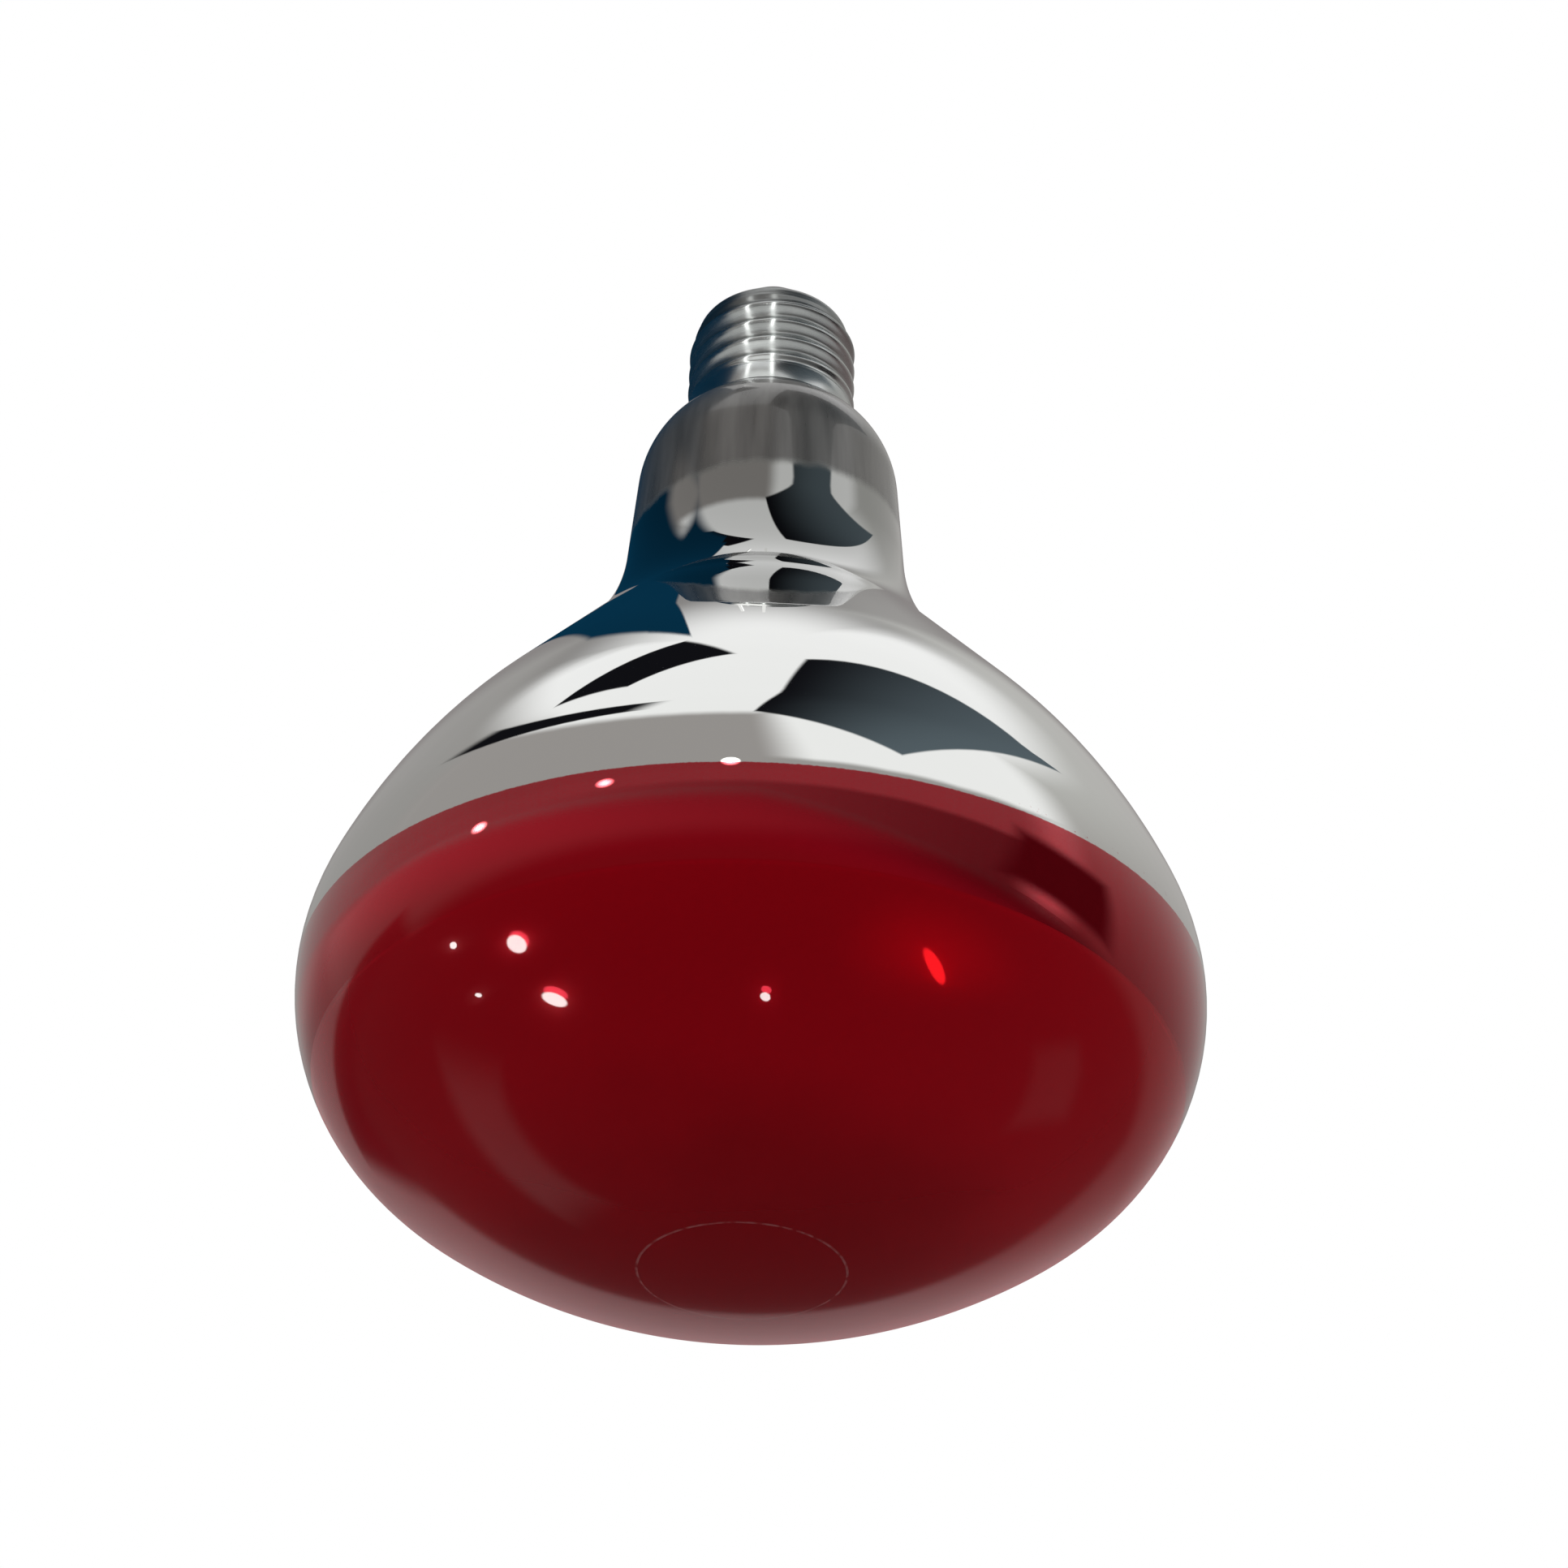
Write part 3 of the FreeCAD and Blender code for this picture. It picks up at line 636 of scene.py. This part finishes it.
class LAMP_OT_cap(Operator):
    """Roll the threaded cap and finish its end, its solder and its cement"""

    bl_idname = "lamp.cap"
    bl_label = "Screw cap"

    SEGMENTS = 144
    ROWS_PER_TURN = 28

    def sheet_rows(self, cap, inset):
        """Level circles of the sheet from the rim up to the lip, set in from its outside."""
        low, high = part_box("screw_shell")
        crest = high.x
        root = crest - cap.thread_depth
        bottom = low.z + cap.skirt_length
        top = bottom + cap.thread_length
        run_out = cap.thread_pitch / 2
        rows = [ring(crest - inset, low.z, self.SEGMENTS)]
        steps = round(cap.thread_length / cap.thread_pitch * self.ROWS_PER_TURN)
        for step in range(steps + 1):
            z = bottom + cap.thread_length * step / steps
            outer = root + cap.thread_depth * min(1.0, (top - z) / run_out)
            inner = crest - cap.thread_depth * min(1.0, (z - bottom) / run_out)
            turn = math.tau * (z - cap.front_crest) / cap.thread_pitch - math.pi / 2
            centre = polar(turn) * ((outer - inner) / 2)
            rows.append(ring((outer + inner) / 2 - inset, z, self.SEGMENTS, centre))
        bend = Vector((root - cap.end_round, top))
        lip = Vector((cap.lip_radius, high.z)) - polar(cap.end_slope) * inset
        end = arc(bend, cap.end_round - inset, 0.0, cap.end_slope, spacing=0.0002)[1:] + [lip]
        return rows + [ring(r, z, self.SEGMENTS) for r, z in end]

    def execute(self, context):
        cap = context.scene.lamp_cap
        colours = context.scene.lamp_colours
        rows = self.sheet_rows(cap, 0.0) + self.sheet_rows(cap, cap.sheet)[::-1]
        mesh = skin("threaded_cap", rows, closed=True)
        mesh.materials.append(cap_metal(cap, colours))
        add_piece("threaded_cap", mesh, "cap_metal", "screw_shell")
        dress(black_glass(colours), "cap_insulator")
        dress(metal("contact_brass", colours.brass, roughness=0.3), "centre_contact")
        solder = metal("dull_solder", colours.solder, roughness=0.42, grain=900.0, dent=0.00008)
        dress(solder, "contact_solder", "rim_solder")
        dress(baked_cement(colours), "cap_cement")
        return {"FINISHED"}


class LAMP_OT_mount(Operator):
    """Finish the glass stem, its wires and the heat disc inside the bulb"""

    bl_idname = "lamp.mount"
    bl_label = "Stem and wires"

    def execute(self, context):
        colours = context.scene.lamp_colours
        hooks = [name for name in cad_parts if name.startswith("support_wire")]
        dress(clear_glass(colours), "stem", "exhaust_tube", "button_rod")
        copper = metal("copper_wire", colours.copper, roughness=0.35)
        dress(copper, "outer_lead_contact", "outer_lead_shell", "seal_wire_contact", "seal_wire_shell")
        nickel = metal("nickel_wire", colours.nickel, roughness=0.3)
        dress(nickel, "inner_lead_contact", "inner_lead_shell")
        dress(metal("support_wire", colours.support, roughness=0.35), *hooks)
        dress(metal("heat_disc", colours.deflector, roughness=0.25), "heat_deflector")
        return {"FINISHED"}


class LAMP_OT_coil(Operator):
    """Wind the coil along its part-ring"""

    bl_idname = "lamp.coil"
    bl_label = "Coil"

    def execute(self, context):
        sizes = context.scene.lamp_coil
        low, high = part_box("filament")
        outer = (high.z - low.z) / 2
        winding = outer - sizes.wire_radius
        core = Vector((-low.x - outer, (low.z + high.z) / 2))
        span = math.tau - sizes.gap
        turns = round(core.x * span / sizes.turn_pitch)
        curve = bpy.data.curves.new("coil", "CURVE")
        curve.dimensions = "3D"
        curve.bevel_depth = sizes.wire_radius
        curve.bevel_resolution = 1
        curve.use_fill_caps = True
        count = turns * sizes.points_per_turn + 1
        spline = curve.splines.new("POLY")
        spline.points.add(count - 1)
        for number, point in enumerate(spline.points):
            along = sizes.gap / 2 + span * number / (count - 1)
            radius, height = core + polar(math.tau * number / sizes.points_per_turn) * winding
            point.co = (radius * math.cos(along), radius * math.sin(along), height, 1.0)
        curve.materials.append(metal("tungsten_coil", context.scene.lamp_colours.tungsten, roughness=0.4))
        add_piece("coil", curve, "tungsten", "filament")
        return {"FINISHED"}


def toward(azimuth, elevation, distance, height=HUB):
    """A point seen from a height on the axis; its azimuth runs from the front to +X, both angles in degrees."""
    turn, rise = math.radians(azimuth), math.radians(elevation)
    level = distance * math.cos(rise)
    return Vector((level * math.sin(turn), -level * math.cos(turn), height + distance * math.sin(rise)))


def between(corners, along, up):
    """A point between four corners, which run round from the lower left."""
    low = corners[0].lerp(corners[1], along)
    return low.lerp(corners[3].lerp(corners[2], along), up)


def stage_mesh(name, rows, material):
    """A part of the stage through rows of points."""
    across = len(rows[0])
    faces = []
    for row in range(len(rows) - 1):
        first = row * across
        faces += [(n, n + 1, n + 1 + across, n + across) for n in range(first, first + across - 1)]
    mesh = bpy.data.meshes.new(name)
    mesh.from_pydata([point for row in rows for point in row], [], faces)
    layer = mesh.uv_layers.new()
    for loop, place in zip(mesh.loops, layer.data):
        row, column = divmod(loop.vertex_index, across)
        place.uv = (column / (across - 1), row / (len(rows) - 1))
    mesh.materials.append(material)
    flat = bpy.data.objects.new(name, mesh)
    bpy.context.scene.collection.objects.link(flat)
    return flat


def add_card(name, rgb, rows, soft, strength=1.0, disc=False, far_rgb=None):
    """A studio card or disc with soft edges that only the gloss of the lamp sees.

    Its colour can run along its rows to another one.
    """

    def write(paint):
        u, v, _ = paint.axes(paint.place("UV"))
        edge = u.least(1 - u).least(v.least(1 - v))
        if disc:
            edge = 0.5 - ((u - 0.5) ** 2 + (v - 0.5) ** 2) ** 0.5
        clear = paint.node("ShaderNodeBsdfTransparent", {}, {})
        light = paint.glow(paint.blend(paint.rise(u, 0.0, 1.0), rgba(rgb), rgba(far_rgb or rgb)), strength)
        return paint.mix(paint.rise(edge, 0.0, soft), clear, light)

    card = stage_mesh(name, rows, new_material(name, write))
    card.visible_camera = False
    card.visible_diffuse = False
    card.visible_transmission = False
    card.visible_shadow = False


def flat_rows(*corners):
    """The two rows of a flat card."""
    return [corners[:2], (corners[3], corners[2])]


def side_rows(x, *corners):
    """The two rows of a flat card at one x, through corners in y and z."""
    return flat_rows(*[(x, y, z) for y, z in corners])


def upright_rows(reach, turns, heights):
    """The two rows of an upright card beside the axis, between two azimuths in degrees and two heights."""
    return [[toward(turn, 0, reach, height) for turn in turns] for height in heights]


def sky_rows(distance, *corners, steps=12):
    """Rows of a card that is bent round the lamp between four directions in degrees."""
    shares = [step / steps for step in range(steps + 1)]
    directions = [Vector(corner) for corner in corners]
    return [[toward(*between(directions, along, up), distance) for along in shares] for up in shares]


def dish_rows(distance, middle, tilt, swell, steps=24):
    """Rows of a dish under the lamp; its rim, in degrees from straight down, is higher at the front and sides."""
    rows = []
    for v in range(-steps, steps + 1):
        row = []
        for u in range(-steps, steps + 1):
            azimuth = math.atan2(u, v)
            rim = middle + tilt * math.cos(azimuth) + swell * math.sin(azimuth) ** 2
            row.append(toward(math.degrees(azimuth), rim * math.hypot(u, v) / steps - 90, distance))
        rows.append(row)
    return rows


def add_spot(name, rgb, strength, middle, across, up, distance, soft=0.12):
    """A small round light that only the gloss of the lamp sees; its half-axes are in degrees."""
    middle, across, up = Vector(middle), Vector(across), Vector(up)
    corners = [middle + across * u + up * v for u, v in SQUARE]
    add_card(name, rgb, sky_rows(distance, *corners, steps=4), soft, strength, disc=True)


def add_lamp(name, power, size, place, aim):
    """A soft square light."""
    light = bpy.data.lights.new(name, "AREA")
    light.energy = power
    light.size = size
    lamp = bpy.data.objects.new(name, light)
    lamp.location = place
    lamp.rotation_euler = (Vector(aim) - Vector(place)).to_track_quat("-Z", "Y").to_euler()
    lamp.visible_glossy = False
    lamp.visible_transmission = False
    bpy.context.scene.collection.objects.link(lamp)


class LAMP_OT_stage(Operator):
    """Set up the floor, the white surroundings, the studio cards, the lights and the camera"""

    bl_idname = "lamp.stage"
    bl_label = "Studio"

    # Radii of the shells round the face that carry its lights, from the inside out.
    SPOT_SHELL = 0.085
    FRINGE_SHELL = 0.0855
    GLOW_SHELL = 0.087
    HAZE_SHELL = 0.088
    FLAG_SHELL = 0.092
    # Distance of the spots that the red band sees, and half of their size in degrees.
    BAND_SHELL = 0.4
    BAND_SPOT = 2.4
    # Distances from the axis of the strips beside the cap, and half of a strip's width in degrees.
    STRIP_REACH = 0.0165
    STRIP_BACK_REACH = 0.0169
    SKIRT_STRIP_REACH = 0.0173
    STRIP_HALF = 1.6
    STRIP_HEIGHTS = (-0.026, -0.002)
    SKIRT_STRIP_HEIGHTS = (-0.0270, -0.0205)
    # Heights and sides of the flat flags.
    BEAM_HEIGHT = 0.885
    NECK_FLAG_X = -0.04
    CAP_FLAG_X = -0.03

    BLACK = (0.006, 0.006, 0.008)
    SLATE = (0.002, 0.030, 0.065)
    BLUE = (0.10, 0.13, 0.15)
    WHITE = (1.0, 1.0, 0.98)
    RUBY = (1.0, 0.015, 0.02)
    FRINGE = (1.0, 0.06, 0.10)

    def add_floor(self, studio):
        def write(paint):
            mottle = paint.noise(paint.place(), scale=3.0, detail=3.0)
            grey, pale = shades(studio.floor_colour, dark=0.97, light=1.02)
            return paint.principled(Base_Color=paint.blend(mottle, grey, pale), Roughness=0.9)

        half = studio.floor_size / 2
        corners = [(x * half, y * half, -studio.floor_drop) for x, y in SQUARE]
        stage_mesh("floor", flat_rows(*corners), new_material("pale_floor", write))

    def add_world(self, scene, studio):
        world = bpy.data.worlds.new("white_surroundings")
        scene.world = world
        paint = Paint(world)
        kinds = ("Camera", "Glossy", "Transmission")
        camera, glossy, through = [paint.node("ShaderNodeLightPath", {}, {}, f"Is {kind} Ray") for kind in kinds]
        seen = camera.most(glossy).most(through)
        light = paint.node("ShaderNodeBackground", {}, {"Color": rgba((1, 1, 1)), "Strength": studio.world_light})
        white = paint.node("ShaderNodeBackground", {}, {"Color": rgba((1, 1, 1)), "Strength": 1.0})
        paint.node("ShaderNodeOutputWorld", {}, {"Surface": paint.mix(seen, light, white)})

    def add_cards(self):
        """Cards and dark flags round the lamp; a nearer one hides those behind it."""
        add_card("face_flag", (0.025, 0.025, 0.025), dish_rows(self.FLAG_SHELL, middle=61.5, tilt=13.5, swell=6),
                 soft=0.035, disc=True)
        add_card("back_card", (0.30, 0.25, 0.25), sky_rows(2.6, (285, -30), (230, 82), (150, 82), (95, -30)),
                 soft=0.2, far_rgb=(0.25, 0.245, 0.24))
        add_card("right_card", (0.14, 0.09, 0.09), sky_rows(2.4, (172, -24), (172, 72), (75, 58), (62, -24)),
                 soft=0.18, far_rgb=(0.55, 0.55, 0.53))
        add_card("left_card", (0.35, 0.34, 0.33), sky_rows(2.4, (-175, 12), (-85, 12), (-85, 66), (-160, 66)),
                 soft=0.2)
        add_card("front_card", (0.08, 0.08, 0.08), sky_rows(2.2, (75, -24), (-125, -24), (-125, 20), (75, 18)),
                 soft=0.08, far_rgb=(0.50, 0.49, 0.48))
        add_card("horizon_card", (0.38, 0.37, 0.36), sky_rows(2.3, (-130, 2), (85, 2), (85, 33), (-130, 31)),
                 soft=0.1)
        add_card("high_card", (0.36, 0.34, 0.33), sky_rows(2.0, (-110, 22), (16, 22), (10, 62), (-110, 58)),
                 soft=0.12)
        neck_corners = ((0.12, -0.04), (-0.017, -0.045), (-0.017, 0.12), (0.12, 0.15))
        add_card("left_flag", self.SLATE, side_rows(self.NECK_FLAG_X, *neck_corners), soft=0.06)
        beam_corners = ((-0.49, 0.04), (-0.32, -0.095), (-0.05, -0.05), (-0.15, 0.09))
        add_card("beam_flag", self.BLACK, flat_rows(*[(x, y, self.BEAM_HEIGHT) for x, y in beam_corners]),
                 soft=0.05)
        cap_corners = ((0.05, -0.033), (-0.03, -0.033), (-0.03, 0.05), (0.05, 0.05))
        add_card("cap_flag", self.SLATE, side_rows(self.CAP_FLAG_X, *cap_corners), soft=0.1)
        add_card("left_low_flag", self.BLACK, sky_rows(1.6, (-155, -24), (-85, -24), (-85, 2), (-155, 2)),
                 soft=0.1)
        add_card("right_low_flag", self.BLACK, sky_rows(1.6, (52, -4), (96, -4), (92, 20), (60, 24)), soft=0.2)
        wedge_corners = [toward(*turn, distance=1.0) for turn in ((-3, 58), (36, 39), (112, 52), (60, 84))]
        add_card("wedge_flag", self.BLACK, flat_rows(*wedge_corners), soft=0.03, far_rgb=self.BLUE)
        add_card("streak_flag", self.BLACK, sky_rows(0.2, (-95, 43), (-28, 48.5), (-24, 54.5), (-88.5, 52)),
                 soft=0.15)
        left_haze = sky_rows(self.HAZE_SHELL, (-134, -59), (-69.5, -38), (-63, -49), (-122, -71))
        add_card("haze_left", (0.20, 0.19, 0.19), left_haze, soft=0.3)
        right_haze = sky_rows(self.HAZE_SHELL, (68.5, -34), (94, -41.5), (88, -53.5), (63, -43))
        add_card("haze_right", (0.12, 0.115, 0.115), right_haze, soft=0.3)

    def add_spots(self, studio):
        """Small lights that shine in the face, in the red band and on the cap."""
        face_spots = (((-41.4, -33.9), (1.1, -1.9), (1.6, 1.2)), ((-42.6, -46.9), (1.9, -1.6), (1.4, 0.7)),
                      ((3.2, -52.3), (1.3, -0.2), (0.1, 0.8)), ((-52.5, -28.5), (0.7, -0.4), (0.4, 0.7)),
                      ((-55.3, -39.7), (0.4, -0.6), (0.6, 0.3)))
        for number, axes in enumerate(face_spots, 1):
            add_spot(f"face_spot_{number}", self.WHITE, studio.face_spot_light, *axes, self.SPOT_SHELL)
        fringes = (((-40.8, -33.3), (1.2, -1.9), (1.6, 1.2)), ((-41.6, -46.2), (1.9, -1.5), (1.3, 0.7)),
                   ((3.3, -51.3), (1.3, -0.2), (0.1, 0.7)))
        for number, axes in enumerate(fringes, 1):
            add_spot(f"fringe_{number}", self.FRINGE, studio.fringe_light, *axes, self.FRINGE_SHELL)
        gleam = ((33.6, -39.6), (4.2, -3.4), (0.7, 1.2))
        add_spot("ruby_gleam", self.RUBY, studio.gleam_light, *gleam, self.SPOT_SHELL)
        glow_rows = sky_rows(self.GLOW_SHELL, (17, -58), (62, -42), (41, -21), (8.5, -27))
        add_card("ruby_glow", self.RUBY, glow_rows, soft=0.5, strength=studio.glow_light, disc=True)

        band_axes = ((self.BAND_SPOT, 0.0), (0.0, self.BAND_SPOT))
        for number, middle in enumerate(((-33.0, 16.7), (-62.3, 12.3), (-6.1, 22.7)), 1):
            add_spot(f"band_spot_{number}", self.WHITE, studio.band_spot_light, middle, *band_axes,
                     self.BAND_SHELL, soft=0.5)

        for number, azimuth in enumerate((-21.5, 0.0), 1):
            turns = (azimuth - self.STRIP_HALF, azimuth + self.STRIP_HALF)
            strip = upright_rows(self.STRIP_REACH, turns, self.STRIP_HEIGHTS)
            back = upright_rows(self.STRIP_BACK_REACH, turns, self.STRIP_HEIGHTS)
            add_card(f"cap_strip_{number}", self.WHITE, strip, soft=0.3, strength=studio.strip_light)
            add_card(f"strip_back_{number}", self.WHITE, back, soft=0.05, strength=studio.strip_back_light)
        skirt = upright_rows(self.SKIRT_STRIP_REACH, (-30, 8), self.SKIRT_STRIP_HEIGHTS)
        add_card("skirt_strip", self.WHITE, skirt, soft=0.3)

    def add_camera(self, scene, studio):
        ahead = Vector((0.0, math.cos(studio.camera_rise), math.sin(studio.camera_rise)))
        side = Vector((1.0, 0.0, 0.0))
        up = side.cross(ahead)
        roll = studio.camera_roll
        right = side * math.cos(roll) + up * math.sin(roll)
        head = up * math.cos(roll) - side * math.sin(roll)
        data = bpy.data.cameras.new("camera")
        data.lens = studio.camera_lens
        data.shift_x = studio.camera_shift
        camera = bpy.data.objects.new("camera", data)
        turn = Matrix((right, head, -ahead)).transposed().to_4x4()
        place = Vector((0.0, 0.0, studio.camera_aim)) - ahead * studio.camera_distance
        camera.matrix_world = Matrix.Translation(place) @ turn
        scene.collection.objects.link(camera)
        scene.camera = camera

    def execute(self, context):
        scene = context.scene
        studio = scene.lamp_studio
        scene.view_settings.view_transform = "Standard"
        self.add_floor(studio)
        self.add_world(scene, studio)
        self.add_cards()
        self.add_spots(studio)
        aim = (0.0, 0.0, studio.camera_aim)
        add_lamp("key_light", studio.key_power, studio.key_size, studio.key_place, aim)
        add_lamp("fill_light", studio.fill_power, studio.fill_size, studio.fill_place, aim)
        self.add_camera(scene, studio)
        return {"FINISHED"}


OPERATORS = (LAMP_OT_bulb, LAMP_OT_cap, LAMP_OT_mount, LAMP_OT_coil, LAMP_OT_stage)


class LAMP_PT_sidebar(Panel):
    """Steps that dress the lamp"""

    bl_idname = "LAMP_PT_sidebar"
    bl_label = "Heat lamp"
    bl_space_type = "VIEW_3D"
    bl_region_type = "UI"
    bl_category = "Lamp"

    def draw(self, context):
        for operator in OPERATORS:
            self.layout.operator(operator.bl_idname)


GROUPS = {"lamp_bulb": BulbSizes, "lamp_cap": CapSizes, "lamp_coil": CoilSizes, "lamp_colours": LampColours,
          "lamp_studio": StudioSettings}


def register():
    for name, group in GROUPS.items():
        bpy.utils.register_class(group)
        setattr(bpy.types.Scene, name, PointerProperty(type=group))
    for kind in (*OPERATORS, LAMP_PT_sidebar):
        bpy.utils.register_class(kind)


def unregister():
    for kind in (LAMP_PT_sidebar, *reversed(OPERATORS)):
        bpy.utils.unregister_class(kind)
    for name, group in reversed(GROUPS.items()):
        delattr(bpy.types.Scene, name)
        bpy.utils.unregister_class(group)


def main():
    register()
    bpy.ops.lamp.bulb()
    bpy.ops.lamp.cap()
    bpy.ops.lamp.mount()
    bpy.ops.lamp.coil()
    bpy.ops.lamp.stage()


if __name__ == "__main__":
    main()
